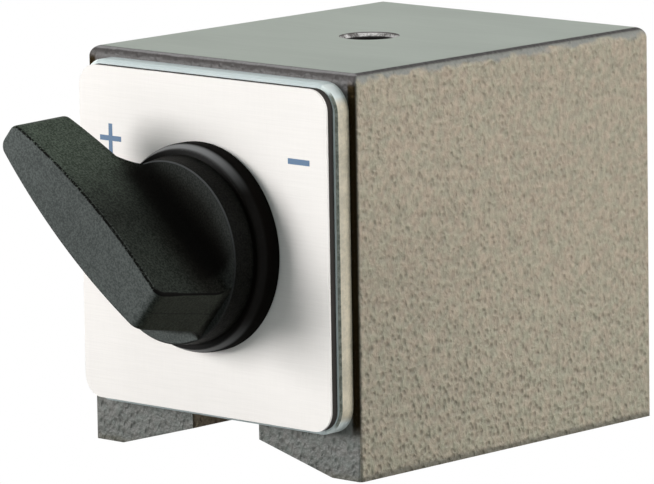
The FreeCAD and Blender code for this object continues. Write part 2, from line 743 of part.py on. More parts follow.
def make_knob():
    body = new_body("knob", "axis_height", leaning=True)
    roof = "(hub_height - hub_roof)"
    foot = wing_outline(body, roof, "-(wing_end + wing_end_draft)", "wing_tip", "wing_draft")
    top = wing_outline(body, "wing_height", "-wing_end", "wing_tip", "0")
    wing = feature(body, "AdditiveLoft", foot)
    wing.Sections = [top]
    # The wing stands on a disc, wide enough for the blend along its sides, and cut round below
    disc = circles(front_sketch(body, from_label("hub_height")), [("0", "0")], "wing_tip + 2 * valley_round")
    pad(body, disc, "hub_roof")
    face = number(from_label("hub_height"))
    outer = number(from_label("wing_height"))
    tip = number("wing_tip")

    def at_tip(point):
        tall = outer - 1e-4 < point.y < face + 1e-4 and abs(point.x) > number("tip_half") / 2
        return tall and near(point.z, "wing_tip")

    def along_valley(point):
        beside = number("tip_half") < abs(point.x) < tip and point.z < tip - number("tip_round") / 2
        return abs(point.y - face) < 1e-4 and beside

    def at_outer_edge(point):
        beside = abs(point.x) > number("tip_half") / 2 or point.z > 0
        return abs(point.y - outer) < 1e-4 and beside

    dress(body, "Fillet", at_tip, "Radius", "tip_round")
    dress(body, "Fillet", along_valley, "Radius", "valley_round")
    dress(body, "Fillet", lambda point: near(point.y, from_label("wing_height")) and near(point.z, "-wing_end"),
          "Radius", "end_round")
    dress(body, "Fillet", at_outer_edge, "Radius", "wing_round")
    # Round the hub, and under the lever: a shallow cone about the axis
    reach = "(wing_tip + 3 * valley_round)"
    slope = "(lever_rise / (wing_tip - hub_face))"
    rim = [
        ("hub_base", "collar_height"),
        ("hub_face", "hub_height - hub_round"),
        ("hub_face - hub_round", "hub_height"),
    ]
    section = rim + [
        ("hub_base", "wing_root"),
        (reach, f"wing_root + {slope} * ({reach} - hub_base)"),
        (reach, "collar_height"),
    ]
    sketch = new_sketch(body, "XY_Plane")
    outline(sketch, [(radius, from_label(distance)) for radius, distance in section])
    underside = feature(body, "Groove", sketch)
    underside.ReferenceAxis = (sketch, ["V_Axis"])
    root, rise, inner = number(from_label("wing_root")), number(slope), number("hub_base")

    def under_tip(point):
        cone = root - rise * (math.hypot(point.x, point.z) - inner)
        return abs(point.y - cone) < 1e-3 and point.z > tip - number("tip_round")

    dress(body, "Fillet", under_tip, "Radius", "tip_under")
    # The hub, hollow behind, with the boss that takes the tang
    hub = [
        ("0", "boss_recess"),
        ("boss_radius", "boss_recess"),
        ("boss_radius", roof),
        ("skirt_radius - hub_wall", roof),
        ("skirt_radius - hub_wall", "knob_gap"),
        ("skirt_radius", "knob_gap"),
        ("skirt_radius", "collar_height"),
    ] + rim + [("0", "hub_height")]
    sketch = new_sketch(body, "XY_Plane")
    outline(sketch, [(radius, from_label(distance)) for radius, distance in hub])
    round_hub = feature(body, "Revolution", sketch)
    round_hub.ReferenceAxis = (sketch, ["V_Axis"])
    half_across = "(tang_thickness / 2 + clip_sheet + socket_gap)"
    half_along = "(tang_width / 2 + socket_gap)"
    sketch = front_sketch(body, from_label("boss_recess"))
    rectangle(sketch, f"-{half_across}", half_across, f"-{half_along}", half_along)
    pocket(body, sketch, "tang_reach + clip_sheet + socket_gap - boss_recess", forwards=True)
    return body


make_seal()
make_collar()
make_clip()
make_knob()

# Every feature and every piece is checked before anything is written

doc.recompute()
broken = [item.Name for item in doc.Objects if "Invalid" in item.State or "Error" in item.State]
if broken:
    raise RuntimeError(f"features that failed: {broken}")
for part in parts:
    if part.Shape.isNull() or not part.Shape.isValid():
        raise RuntimeError(f"bad shape: {part.Label}")

os.makedirs("parts", exist_ok=True)
for part in parts:
    part.Shape.exportStep(f"parts/{part.Label}.step")
    box = part.Shape.BoundBox
    print(f"{part.Label}: {len(part.Shape.Solids)} solid(s), {part.Shape.Volume:.0f} mm3,"
          f" x {box.XMin:.2f}..{box.XMax:.2f} y {box.YMin:.2f}..{box.YMax:.2f} z {box.ZMin:.2f}..{box.ZMax:.2f}")
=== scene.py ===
import math

import bmesh
import bpy
from mathutils import Matrix, Vector


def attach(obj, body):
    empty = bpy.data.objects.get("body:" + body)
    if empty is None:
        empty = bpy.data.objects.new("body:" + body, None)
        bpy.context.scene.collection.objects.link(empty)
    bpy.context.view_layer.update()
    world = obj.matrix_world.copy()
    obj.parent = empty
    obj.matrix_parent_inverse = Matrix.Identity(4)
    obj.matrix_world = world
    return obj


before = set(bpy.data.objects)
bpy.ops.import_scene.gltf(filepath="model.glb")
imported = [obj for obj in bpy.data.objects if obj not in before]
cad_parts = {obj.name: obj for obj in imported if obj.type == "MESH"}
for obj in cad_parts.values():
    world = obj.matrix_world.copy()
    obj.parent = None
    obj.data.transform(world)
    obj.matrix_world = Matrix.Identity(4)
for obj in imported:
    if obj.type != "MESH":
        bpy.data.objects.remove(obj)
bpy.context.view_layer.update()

# Steel block: two soft-iron poles with spacers between them, dowelled together, painted with
# grey hammered enamel, then ground bright on top. Every upper edge is rounded under the paint.


class Value:
    """A socket of a finish. Plain arithmetic on it adds Math nodes."""

    def __init__(self, finish, socket):
        self.finish = finish
        self.socket = socket

    def math(self, operation, *others):
        return self.finish.node("Math", {"operation": operation}, dict(enumerate((self, *others))))

    def __add__(self, other):
        return self.math("ADD", other)

    def __sub__(self, other):
        return self.math("SUBTRACT", other)

    def __rsub__(self, other):
        return self.finish.node("Math", {"operation": "SUBTRACT"}, {0: other, 1: self})

    def __mul__(self, other):
        return self.math("MULTIPLY", other)

    __radd__ = __add__
    __rmul__ = __mul__

    def __abs__(self):
        return self.math("ABSOLUTE")

    def __neg__(self):
        return self * -1.0

    def most(self, other):
        return self.math("MAXIMUM", other)

    def rise(self, low, high):
        """0 below low, 1 above high, and a smooth step between."""
        ends = {"Value": self, "From Min": low, "From Max": high}
        return self.finish.node("MapRange", {"interpolation_type": "SMOOTHSTEP"}, ends)

    def fall(self, low, high):
        """1 below low, 0 above high, and a smooth step between."""
        return 1.0 - self.rise(low, high)

    def band(self, start, full, fade, end):
        """1 from full to fade, 0 before start and after end."""
        return self.rise(start, full) * self.fall(fade, end)


class Finish:
    """A material under construction, with lengths in millimetres."""

    def __init__(self, name):
        self.material = bpy.data.materials.new(name)
        self.material.use_nodes = True
        self.tree = self.material.node_tree
        self.tree.nodes.clear()
        self.shader = self.tree.nodes.new("ShaderNodeBsdfPrincipled")
        output = self.tree.nodes.new("ShaderNodeOutputMaterial")
        self.tree.links.new(self.shader.outputs[0], output.inputs["Surface"])
        place = self.node("TexCoord", {}, {}, "Object")
        self.place = self.node("VectorMath", {"operation": "SCALE"}, {0: place, "Scale": 1000.0})
        self.x, self.y, self.z = self.split(self.place)

    def node(self, kind, settings, values, output=0):
        """Adds a node with its settings first, then its values and links."""
        node = self.tree.nodes.new(f"ShaderNode{kind}")
        for name, setting in settings.items():
            setattr(node, name, setting)
        for name, value in values.items():
            if isinstance(value, Value):
                self.tree.links.new(value.socket, node.inputs[name])
            else:
                node.inputs[name].default_value = value
        return Value(self, node.outputs[output])

    def split(self, vector):
        """The three parts of a vector."""
        return [self.node("SeparateXYZ", {}, {0: vector}, axis) for axis in range(3)]

    def facing(self):
        """The surface's own direction, as three values."""
        return self.split(self.node("TexCoord", {}, {}, "Normal"))

    def grid(self, size, stretch):
        """The place, measured in steps of this size, stretched along each axis."""
        steps = tuple(1.0 / (size * s) for s in stretch)
        return self.node("VectorMath", {"operation": "MULTIPLY"}, {0: self.place, 1: steps})

    def noise(self, size, detail=2.0, roughness=0.5, stretch=(1.0, 1.0, 1.0)):
        """Cloudy noise from 0 to 1, with blotches of about this size."""
        values = {"Scale": 1.0, "Detail": detail, "Roughness": roughness}
        return self.node("TexNoise", {}, {"Vector": self.grid(size, stretch), **values})

    def cells(self, size, smooth, stretch):
        """Distance to the nearest of scattered points, with cells of about this size."""
        values = {"Vector": self.grid(size, stretch), "Scale": 1.0, "Smoothness": smooth}
        return self.node("TexVoronoi", {"feature": "SMOOTH_F1"}, values, "Distance")

    def blend(self, mask, first, second):
        """One colour or the other, by a mask from 0 to 1."""
        first, second = (c if isinstance(c, Value) else (*c, 1.0) for c in (first, second))
        return self.node("Mix", {"data_type": "RGBA"}, {0: mask, 6: first, 7: second}, 2)

    def shade(self, colour, mask, first, second):
        """A colour multiplied by one tint or the other."""
        multiply = {"data_type": "RGBA", "blend_type": "MULTIPLY"}
        return self.node("Mix", multiply, {0: 1.0, 6: colour, 7: self.blend(mask, first, second)}, 2)

    def bump(self, height, depth, strength=1.0, under=None):
        """A bump of this depth, on top of another."""
        values = {"Height": height, "Distance": depth / 1000.0, "Strength": strength}
        if under:
            values["Normal"] = under
        return self.node("Bump", {}, values)

    def surface(self, **sockets):
        """Sets or links the shader's sockets."""
        for name, value in sockets.items():
            socket = self.shader.inputs[name.replace("_", " ").title().replace("Ior", "IOR")]
            if isinstance(value, Value):
                self.tree.links.new(value.socket, socket)
            else:
                socket.default_value = value


def grey(level):
    return (level, level, level)


def wear(finish, *nodes):
    """Gives CAD pieces a finish."""
    for name in nodes:
        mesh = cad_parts[name].data
        mesh.materials.clear()
        mesh.materials.append(finish.material)


BLOCK_TOP = 55.0
BLOCK_FRONT = -30.0
HOLE_MOUTH = 4.2
FACES_SIDE = (0.45, 0.80)
LOW_PART = (4.0, 32.0)
NEAR_FRONT = (0.0, 36.0)
NEAR_FOOT = (25.0, 44.0)
CALM_BACK = (18.0, 58.0)
SLOT_REACH = (10.0, 12.0)
PLATE_SHADOW_REACH = (23.3, 23.8)
PLATE_SHADOW_ENDS = (5.0, 7.8, 53.2, 54.4)
THIN_PAINT = (-1.4, -0.6)
BORDER_LINE = (-0.40, -0.22)
GROUND_TOP = (-0.06, -0.02)
HOLE_SPECKLE = (-0.62, -0.48)
HOLE_RIM = (-0.16, -0.10)
HOLE_FOOT = (-9.0, -8.8)
FOOT_LINE = (0.35, 1.15)
CORNER_LINE = (0.15, 0.60)
BORDER_TURN = (0.9, 1.3)
ENAMEL_DEPTH = 0.34
GRIND_DEPTH = 0.004
WHITE = grey(1.0)
ENAMEL_LIT_SIDE = (0.430, 0.370, 0.276)
ENAMEL_SHADED_FRONT = (0.146, 0.144, 0.131)
COOL_TINT = (0.94, 1.00, 0.98)
WARM_TINT = (1.06, 1.00, 1.00)
LOW_TINT = (0.985, 1.020, 1.030)
NEAR_PAINTED_SHADE = 0.87
HILL_PAINTED_SHADE = 0.82
HILL_PAINTED_HIGHLIGHT = 1.13
PIT_SIDE = (0.190, 0.165, 0.120)
PIT_FRONT = (0.070, 0.068, 0.062)
EDGE_SIDE = (0.222, 0.234, 0.220)
EDGE_FRONT = (0.066, 0.056, 0.056)
FOOT_EDGE_SHADE = (0.100, 0.094, 0.070)
BORDER_SIDE = (0.066, 0.062, 0.060)
BORDER_FRONT_HIGHLIGHT = (0.320, 0.310, 0.310)
CORNER_SHADE = (0.080, 0.078, 0.060)
SLOT_WALL_LIGHT = (0.640, 0.480, 0.350)
PLATE_SHADOW = (0.0200, 0.0135, 0.0055)
STEEL_LOW = (0.392, 0.438, 0.384)
STEEL_HIGH = (0.456, 0.507, 0.445)
BRIGHT_CUT = (0.820, 0.805, 0.790)
DULL_CUT = (0.190, 0.180, 0.172)
HOLE_LIP = (0.110, 0.100, 0.096)
HOLE_SHADE = (0.014, 0.013, 0.012)


def hammered(finish, low):
    """Hills, ripples and pits of the enamel, each from 0 to 1."""
    hills = finish.noise(0.80, detail=2.0, roughness=0.6, stretch=(1.0, 1.0, 1.25))
    ripple = finish.noise(2.4, detail=1.0)
    hollow = finish.noise(1.4, detail=2.0)
    dots = finish.cells(0.80, smooth=0.30, stretch=(1.1, 1.1, 1.3)).fall(0.08, 0.58)
    return hills, ripple, dots * (hollow - 0.06 * low).fall(0.40, 0.66)


def ground_steel(steel, strokes):
    """Colour of the ground top, streaked from side to side."""
    sheen = steel.noise(16.0, detail=1.0, stretch=(1.6, 0.7, 1.0))
    return steel.blend((0.6 * strokes + 0.4 * sheen).rise(0.3, 0.7), STEEL_LOW, STEEL_HIGH)


def hole_wall(steel, from_top, glint):
    """Colour of the countersink, speckled with painted glints, with a dull lip, and of the hole below it,
    painted dark as shade.
    """
    smear = steel.noise(1.3, detail=1.0)
    painted_glints = steel.blend((0.4 * glint + 0.6 * smear).rise(0.40, 0.60), DULL_CUT, BRIGHT_CUT)
    mouth = steel.blend(from_top.rise(*HOLE_SPECKLE), HOLE_SHADE, painted_glints)
    return steel.blend(0.85 * from_top.rise(*HOLE_RIM), mouth, HOLE_LIP)


def hammered_block():
    steel = Finish("hammered_enamel_and_ground_steel")
    across, along = steel.facing()[:2]
    from_top = steel.z - BLOCK_TOP
    from_front = steel.y - BLOCK_FRONT
    side = abs(across).rise(*FACES_SIDE)
    low = steel.z.fall(*LOW_PART)
    near = side * from_front.fall(*NEAR_FRONT) * steel.z.fall(*NEAR_FOOT)
    calm = from_front.rise(*CALM_BACK).most(1.0 - side)
    hills, ripple, pits = hammered(steel, low)
    tint = steel.noise(1.5, detail=2.0)
    # painted light and shade: faces turned to the sides get a paler, warmer copy of the enamel than faces
    # turned to the front and back, and the pits follow the same split
    enamel = steel.blend(side, ENAMEL_SHADED_FRONT, ENAMEL_LIT_SIDE)
    enamel = steel.shade(enamel, tint.rise(0.25, 0.75), COOL_TINT, WARM_TINT)
    # painted shade and highlight: the enamel is darker at the foot of each hill and paler on its crest
    enamel = steel.shade(enamel, hills.rise(0.25, 0.75), grey(HILL_PAINTED_SHADE), grey(HILL_PAINTED_HIGHLIGHT))
    enamel = steel.shade(enamel, low, WHITE, LOW_TINT)
    # painted shade: the sides are darker toward their lower front
    enamel = steel.shade(enamel, near, WHITE, grey(NEAR_PAINTED_SHADE))
    depth = 0.28 + 0.22 * low + 0.22 * near - 0.14 * calm
    enamel = steel.blend(depth * pits, enamel, steel.blend(side, PIT_FRONT, PIT_SIDE))
    ragged = steel.noise(1.2, detail=2.0, stretch=(1.6, 1.6, 1.0)) - 0.5
    patch = steel.noise(3.5, detail=1.0) - 0.5
    thin = (from_top + 1.4 * ragged + 2.4 * patch + 2.2 * (1.0 - side)).rise(*THIN_PAINT)
    # where the paint is thin at the top edges it turns blue-grey on the sides; along the front it is
    # painted dark as shade
    enamel = steel.blend(0.85 * thin, enamel, steel.blend(side, EDGE_FRONT, EDGE_SIDE))
    # painted light: the walls that face sideways near the middle, in the slot, are painted a pale tan that
    # lifts them out of their shade
    enamel = steel.blend(0.8 * side * abs(steel.x).fall(*SLOT_REACH), enamel, SLOT_WALL_LIGHT)
    # painted shade: a dark band along the foot of every face, where the bottom edge turns under
    enamel = steel.blend(0.75 * (steel.z + 0.8 * ragged).fall(*FOOT_LINE), enamel, FOOT_EDGE_SHADE)
    # painted shade: a dark line on each side along its front edge
    enamel = steel.blend(0.65 * side * from_front.fall(*CORNER_LINE), enamel, CORNER_SHADE)
    # painted shadow: the front's strips beside the plate's left and right edges are painted near black and
    # made metallic, so that they reflect nothing
    margin = abs(steel.x).rise(*PLATE_SHADOW_REACH) * steel.z.band(*PLATE_SHADOW_ENDS) * (-along).rise(0.40, 0.90)
    enamel = steel.blend(margin, enamel, PLATE_SHADOW)
    ground = from_top.rise(*GROUND_TOP)
    border = (from_top + 0.2 * ragged).rise(*BORDER_LINE) * (1.0 - ground)
    # the border is a dark line where the paint ends; along the front edge it is a pale line instead, a
    # painted highlight
    border_tone = steel.blend(from_front.rise(*BORDER_TURN), BORDER_FRONT_HIGHLIGHT, BORDER_SIDE)
    enamel = steel.blend(0.75 * border, enamel, border_tone)
    strokes = steel.noise(0.16, detail=3.0, stretch=(70.0, 1.0, 1.0))
    glint = steel.noise(0.22, detail=2.0)
    from_hole = (steel.x * steel.x + steel.y * steel.y).math("SQRT")
    cut = from_hole.fall(HOLE_MOUTH - 0.02, HOLE_MOUTH + 0.05) * from_top.rise(*HOLE_FOOT)
    painted = 1.0 - ground.most(cut)
    colour = steel.blend(ground, enamel, ground_steel(steel, strokes))
    relief = (hills + 0.5 * ripple - 0.5 * pits) * (0.80 + 0.35 * low - 0.22 * calm) * painted
    steel.surface(
        base_color=steel.blend(cut, colour, hole_wall(steel, from_top, glint)),
        metallic=(0.40 * ground).most(0.80 * cut).most(margin),
        roughness=0.50 + 0.08 * hills * painted + 0.08 * strokes * ground + 0.08 * cut,
        normal=steel.bump(
            relief, ENAMEL_DEPTH, 1.0,
            under=steel.bump(strokes * ground + 12.0 * glint * cut, GRIND_DEPTH, 0.5)),
    )
    return steel


wear(hammered_block(), "left_pole", "right_pole", "top_spacer")


def bare_metal(name, colour, roughness, metallic=1.0):
    """A plain turned, drawn or cast metal, lightly mottled."""
    metal = Finish(name)
    mottle = metal.noise(1.6, detail=3.0)
    fine = metal.noise(0.18, detail=2.0)
    dark = tuple(c * 0.84 for c in colour)
    metal.surface(
        base_color=metal.blend(mottle, dark, colour),
        metallic=metallic,
        roughness=roughness + 0.14 * (fine - 0.5),
        normal=metal.bump(fine, 0.02, 0.35),
    )
    return metal


SAWN_ALLOY = (0.200, 0.150, 0.110)
DRAWN_STEEL = (0.520, 0.520, 0.510)

wear(bare_metal("sawn_spacer", SAWN_ALLOY, 0.6, 0.5), "lower_spacer")
drawn_steel = bare_metal("drawn_steel", DRAWN_STEEL, 0.34)
wear(drawn_steel, "top_dowels", "lower_dowels", "plate_screws", "stop_pin",
     "front_rotor_screws", "rear_rotor_screws")

# Post thread: M8, tapped in the middle of the top. The turns stand in from the hole's wall, from
# the countersink down.

THREAD_PITCH = 1.25
THREAD_TURNS = 5.6
THREAD_WALL = 3.42
THREAD_CREST = 3.12
THREAD_START = 54.05
FLANK_SHARE = 0.46
CREST_HALF = 0.08
RUN_OUT_TURNS = 0.4
TURN_STEPS = 48
TAPPED_STEEL = (0.300, 0.290, 0.270)


def mesh_piece(name, points, faces, finish):
    """A flat-shaded mesh on the base, from points in millimetres."""
    mesh = bpy.data.meshes.new(name)
    mesh.from_pydata([[c / 1000.0 for c in point] for point in points], [], faces)
    mesh.polygons.foreach_set("use_smooth", [False] * len(faces))
    mesh.materials.append(finish.material)
    piece = bpy.data.objects.new(name, mesh)
    bpy.context.scene.collection.objects.link(piece)
    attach(piece, "base")


def post_thread():
    points, faces = [], []
    half = THREAD_PITCH * FLANK_SHARE
    section = [(THREAD_WALL, half), (THREAD_CREST, CREST_HALF),
               (THREAD_CREST, -CREST_HALF), (THREAD_WALL, -half)]
    steps = int(THREAD_TURNS * TURN_STEPS)
    run_out_steps = RUN_OUT_TURNS * TURN_STEPS
    for step in range(steps + 1):
        turn = 2.0 * math.pi * step / TURN_STEPS
        run_out = min(1.0, step / run_out_steps, (steps - step) / run_out_steps)
        height = THREAD_START - half - THREAD_PITCH * step / TURN_STEPS
        for radius, rise in section:
            reach = THREAD_WALL + (radius - THREAD_WALL) * run_out
            points.append((reach * math.cos(turn), reach * math.sin(turn), height + rise * run_out))
    for step in range(steps):
        for side in range(4):
            a, b = 4 * step + side, 4 * step + (side + 1) % 4
            faces.append((a, b, b + 4, a + 4))
    faces += [(3, 2, 1, 0), tuple(4 * steps + side for side in range(4))]
    mesh_piece("post_thread", points, faces, bare_metal("tapped_steel", TAPPED_STEEL, 0.38))


post_thread()

# Front plate: a square zinc plate, dull blue-grey, with warm pale sides and a paler front beside the
# label, both painted light, and a small break along its front edge. Four countersunk screws hold it to the
# poles.

PLATE_FRONT = -33.0
PLATE_MARGIN = (20.8, 21.2)
PLATE_SIDE = (0.80, 0.97)
PLATE_SIDE_FRONT_BAND = (0.70, 1.00)
PLATE_BACK = (1.2, 2.6)
ZINC_LOW = (0.570, 0.655, 0.655)
ZINC_HIGH = (0.690, 0.765, 0.765)
ZINC_LIT_MARGIN_LOW = (0.860, 0.950, 0.930)
ZINC_LIT_MARGIN_HIGH = (0.940, 1.000, 0.980)
ZINC_LIT_SIDE_LOW = (0.620, 0.560, 0.430)
ZINC_LIT_SIDE_HIGH = (0.960, 0.850, 0.650)
ZINC_SPECK_LOW = (0.150, 0.160, 0.130)
ZINC_SPECK_HIGH = (0.300, 0.315, 0.270)
ZINC_SIDE_SHADE = (0.76, 0.77, 0.78)
ZINC_BACK_SHADE = 1.02


def plated_zinc():
    zinc = Finish("dull_plated_zinc")
    across, along = zinc.facing()[:2]
    from_front = zinc.y - PLATE_FRONT
    cloud = zinc.noise(3.5, detail=3.0)
    fine = zinc.noise(0.22, detail=2.0)
    grit = zinc.noise(0.5, detail=3.0, roughness=0.7)
    side = abs(across).rise(*PLATE_SIDE)
    front = zinc.blend(cloud, ZINC_LOW, ZINC_HIGH)
    # painted light: the front is paler beside the label's left and right edges, where the label's shadow
    # falls
    margin = zinc.blend(cloud, ZINC_LIT_MARGIN_LOW, ZINC_LIT_MARGIN_HIGH)
    front = zinc.blend(abs(zinc.x).rise(*PLATE_MARGIN), front, margin)
    # painted light: the plate's sides get a warm, pale colour, darker toward the front and brighter toward
    # the back
    warm = zinc.blend((0.5 * cloud + 0.5 * grit).rise(0.3, 0.7), ZINC_LIT_SIDE_LOW, ZINC_LIT_SIDE_HIGH)
    warm = zinc.shade(warm, from_front.rise(*PLATE_BACK), ZINC_SIDE_SHADE, grey(ZINC_BACK_SHADE))
    # the front edge's break and a band along the front of each side are speckled dark grey
    broken_edge = (abs(across) + abs(along)).rise(1.15, 1.3)
    speckled_area = side * from_front.fall(*PLATE_SIDE_FRONT_BAND)
    speck = zinc.blend(grit.rise(0.40, 0.60), ZINC_SPECK_LOW, ZINC_SPECK_HIGH)
    zinc.surface(
        base_color=zinc.blend(broken_edge.most(speckled_area), zinc.blend(side, front, warm), speck),
        metallic=0.05,
        roughness=0.42 + 0.12 * fine,
        normal=zinc.bump(fine, 0.02, 0.4),
    )
    return zinc


wear(plated_zinc(), "front_plate")

# Label: a thin aluminium sheet, matt silver-white and brushed from side to side, on a pad of dark
# foam with adhesive on both faces. The plus and minus marks are printed in steel blue.

LABEL_FRONT = -33.7
PLUS_MIDDLE = (-17.23, 43.20)
PLUS_REACH = 2.02
PLUS_HALF = 0.36
MINUS_MIDDLE = (17.97, 43.12)
MINUS_REACH = 1.975
MINUS_HALF = 0.39
INK_LIFT = 0.015
INK_SINK = 0.02
DARK_FOAM = (0.034, 0.026, 0.022)
SHEET_LOW = (0.882, 0.838, 0.802)
SHEET_HIGH = (0.942, 0.896, 0.860)
INK_LOW = (0.075, 0.165, 0.300)
INK_HIGH = (0.115, 0.215, 0.360)


def plain_moulding(name, colour, roughness, grain_size, depth):
    """Rubber or foam of one colour with a fine grain."""
    moulding = Finish(name)
    fine = moulding.noise(grain_size, detail=3.0)
    dark = tuple(c * 0.75 for c in colour)
    moulding.surface(
        base_color=moulding.blend(fine, dark, colour),
        roughness=roughness,
        normal=moulding.bump(fine, depth, 0.6),
    )
    return moulding


def brushed_label():
    sheet = Finish("brushed_label_aluminium")
    strokes = sheet.noise(0.14, detail=2.0, roughness=0.6, stretch=(50.0, 1.0, 1.0))
    cross = sheet.noise(0.18, detail=2.0, roughness=0.6, stretch=(1.0, 1.0, 30.0))
    haze = sheet.noise(16.0, detail=1.0)
    brush = 0.7 * strokes + 0.3 * cross
    light = (0.7 * brush + 0.3 * haze).rise(0.3, 0.7)
    sheet.surface(
        base_color=sheet.blend(light, SHEET_LOW, SHEET_HIGH),
        metallic=0.08,
        roughness=0.48 + 0.10 * brush,
        normal=sheet.bump(brush, 0.004, 0.35),
    )
    return sheet


def printed_blue():
    ink = Finish("steel_blue_ink")
    grain = ink.noise(0.12, detail=2.0)
    ink.surface(
        base_color=ink.blend(grain, INK_LOW, INK_HIGH),
        roughness=0.45 + 0.1 * grain,
        normal=ink.bump(grain, 0.004, 0.3),
    )
    return ink


def printed_mark(name, middle, corners, ink):
    """A flat print just proud of the label, with its rim down on the sheet."""
    count = len(corners)
    outline = [(x + middle[0], z + middle[1]) for x, z in corners]
    points = [(x, LABEL_FRONT - INK_LIFT, z) for x, z in outline]
    points += [(x, LABEL_FRONT + INK_SINK, z) for x, z in outline]
    faces = [tuple(range(count))]
    faces += [(i + count, (i + 1) % count + count, (i + 1) % count, i) for i in range(count)]
    mesh_piece(name, points, faces, ink)


def printed_marks():
    ink = printed_blue()
    arm, half = PLUS_REACH, PLUS_HALF
    plus = [(-half, -arm), (half, -arm), (half, -half), (arm, -half), (arm, half), (half, half),
            (half, arm), (-half, arm), (-half, half), (-arm, half), (-arm, -half), (-half, -half)]
    printed_mark("plus_mark", PLUS_MIDDLE, plus, ink)
    arm, half = MINUS_REACH, MINUS_HALF
    printed_mark("minus_mark", MINUS_MIDDLE, [(-arm, -half), (arm, -half), (arm, half), (-arm, half)], ink)


wear(plain_moulding("pad_foam", DARK_FOAM, 0.85, 0.3, 0.05), "label_pad")
wear(brushed_label(), "label_plate")
printed_marks()

# Bearings and cover: bronze bushes and a thrust washer, a spring washer, and a rear cover turned
# from steel and painted with the block.

BRONZE = (0.420, 0.290, 0.150)
SPRING_STEEL = (0.360, 0.370, 0.390)


def painted_cover():
    cover = Finish("hammered_enamel_cover")
    hills, ripple, pits = hammered(cover, 0.4)
    # painted shade and highlight on the cover's hills, on the shaded copy of the enamel that the front and
    # back faces carry
    dark = tuple(HILL_PAINTED_SHADE * c for c in ENAMEL_SHADED_FRONT)
    light = tuple(HILL_PAINTED_HIGHLIGHT * c for c in ENAMEL_SHADED_FRONT)
    enamel = cover.blend(hills.rise(0.25, 0.75), dark, light)
    cover.surface(
        base_color=cover.blend(0.35 * pits, enamel, PIT_FRONT),
        roughness=0.50 + 0.08 * hills,
        normal=cover.bump(hills + 0.5 * ripple - 0.5 * pits, 0.30, 1.0),
    )
    return cover


wear(bare_metal("sintered_bronze", BRONZE, 0.5), "front_bush", "rear_bush", "thrust_washer")
wear(bare_metal("spring_steel", SPRING_STEEL, 0.30), "spring_washer", "knob_clip")
wear(painted_cover(), "rear_cover")

# Rotor: a bar magnet between soft-iron shoes, held by brass end discs. The front disc is one
# piece with the journal and the flat tang that drives the knob.

CAST_MAGNET = (0.110, 0.110, 0.118)
BRASS = (0.620, 0.450, 0.190)
SEAL_BLACK = grey(0.022)

wear(bare_metal("cast_magnet", CAST_MAGNET, 0.55, 0.8), "magnet")
wear(drawn_steel, "left_shoe", "right_shoe")
wear(bare_metal("turned_brass", BRASS, 0.28), "drive_spindle", "rear_journal")
wear(plain_moulding("seal_rubber", SEAL_BLACK, 0.7, 0.4, 0.02), "spindle_seal")

# Collar: a glossy black ring round the foot of the knob, moulded separately, nearly touching the
# label. Its shoulder is painted grey above and below, a painted highlight.

SHOULDER = (2.0, 2.7, 3.1, 3.7)
HIGHLIGHT_TOP = (38.2, 45.0)
HIGHLIGHT_FOOT = (15.0, 22.0)
COLLAR_BLACK = (0.0036, 0.0026, 0.0018)
HIGHLIGHT_GREY = (0.250, 0.253, 0.256)
DUST_GREY = (0.050, 0.050, 0.048)
PLASTIC_IOR = 1.15


def glossy_black():
    gloss = Finish("glossy_black_plastic")
    ripple = gloss.noise(2.4, detail=1.5)
    dust = gloss.noise(0.16, detail=1.0).rise(0.74, 0.80)
    out = LABEL_FRONT - gloss.y
    # painted highlight: a grey band on the shoulder, strong at the top and weaker at the bottom
    highlight = 0.02 + 0.98 * gloss.z.rise(*HIGHLIGHT_TOP) + 0.70 * gloss.z.fall(*HIGHLIGHT_FOOT)
    black = gloss.blend(out.band(*SHOULDER) * highlight, COLLAR_BLACK, HIGHLIGHT_GREY)
    gloss.surface(
        base_color=gloss.blend(0.4 * dust, black, DUST_GREY),
        roughness=0.32 + 0.12 * ripple + 0.2 * dust + 0.50 * out.fall(2.1, 2.9),
        ior=PLASTIC_IOR,
        normal=gloss.bump(ripple, 0.02, 0.4),
    )
    return gloss


wear(glossy_black(), "knob_collar")

# Knob: hub and lever in one moulding of black plastic. The outer face of the lever and the face of
# the hub have a spark-eroded grain; the sides of the lever are smoother, with a dark olive tone.

LEVER_LEAN = math.radians(50.0)
LEAN_COS = math.cos(LEVER_LEAN)
LEAN_SIN = math.sin(LEVER_LEAN)
KNOB_AXIS = 30.0
RIM_REACH = (3.4, 3.7, 6.6, 6.9)
HUB_FACE = (7.6, 8.6)
WING_FACE = (14.0, 16.0)
LEVER_ROOT = (7.3, 9.5)
BLUNT_END = (-9.3, -8.9)
RIDGE_RADIUS = (12.28, 12.36)
RIDGE_REACH = (6.66, 6.72, 6.94, 7.00)
DEEP_LOW = (0.0026, 0.0026, 0.0018)
DEEP_HIGH = (0.0170, 0.0175, 0.0135)
OLIVE_LOW = (0.0140, 0.0175, 0.0140)
OLIVE_HIGH = (0.0500, 0.0590, 0.0490)
END_LOW = (0.0215, 0.0235, 0.0175)
END_HIGH = (0.0400, 0.0435, 0.0340)
ROUGH_LOW = (0.0560, 0.0630, 0.0600)
ROUGH_HIGH = (0.1140, 0.1260, 0.1200)
TIP_PAINTED_LIGHT = (2.15, 2.25, 2.10)
RIM_SHADE = 0.5
WING_FOOT_SHADE = 0.92
WING_TIP_SHADE = 1.24
ROOT_SHADE_BLACK = (0.0024, 0.0018, 0.0012)
LIP_GREY = (0.080, 0.085, 0.080)
EDGE_REFLECTION_BLACK = (0.0040, 0.0036, 0.0030)
RIDGE_HIGHLIGHT_GREY = (0.085, 0.088, 0.090)
SEAM_BLACK = grey(0.003)


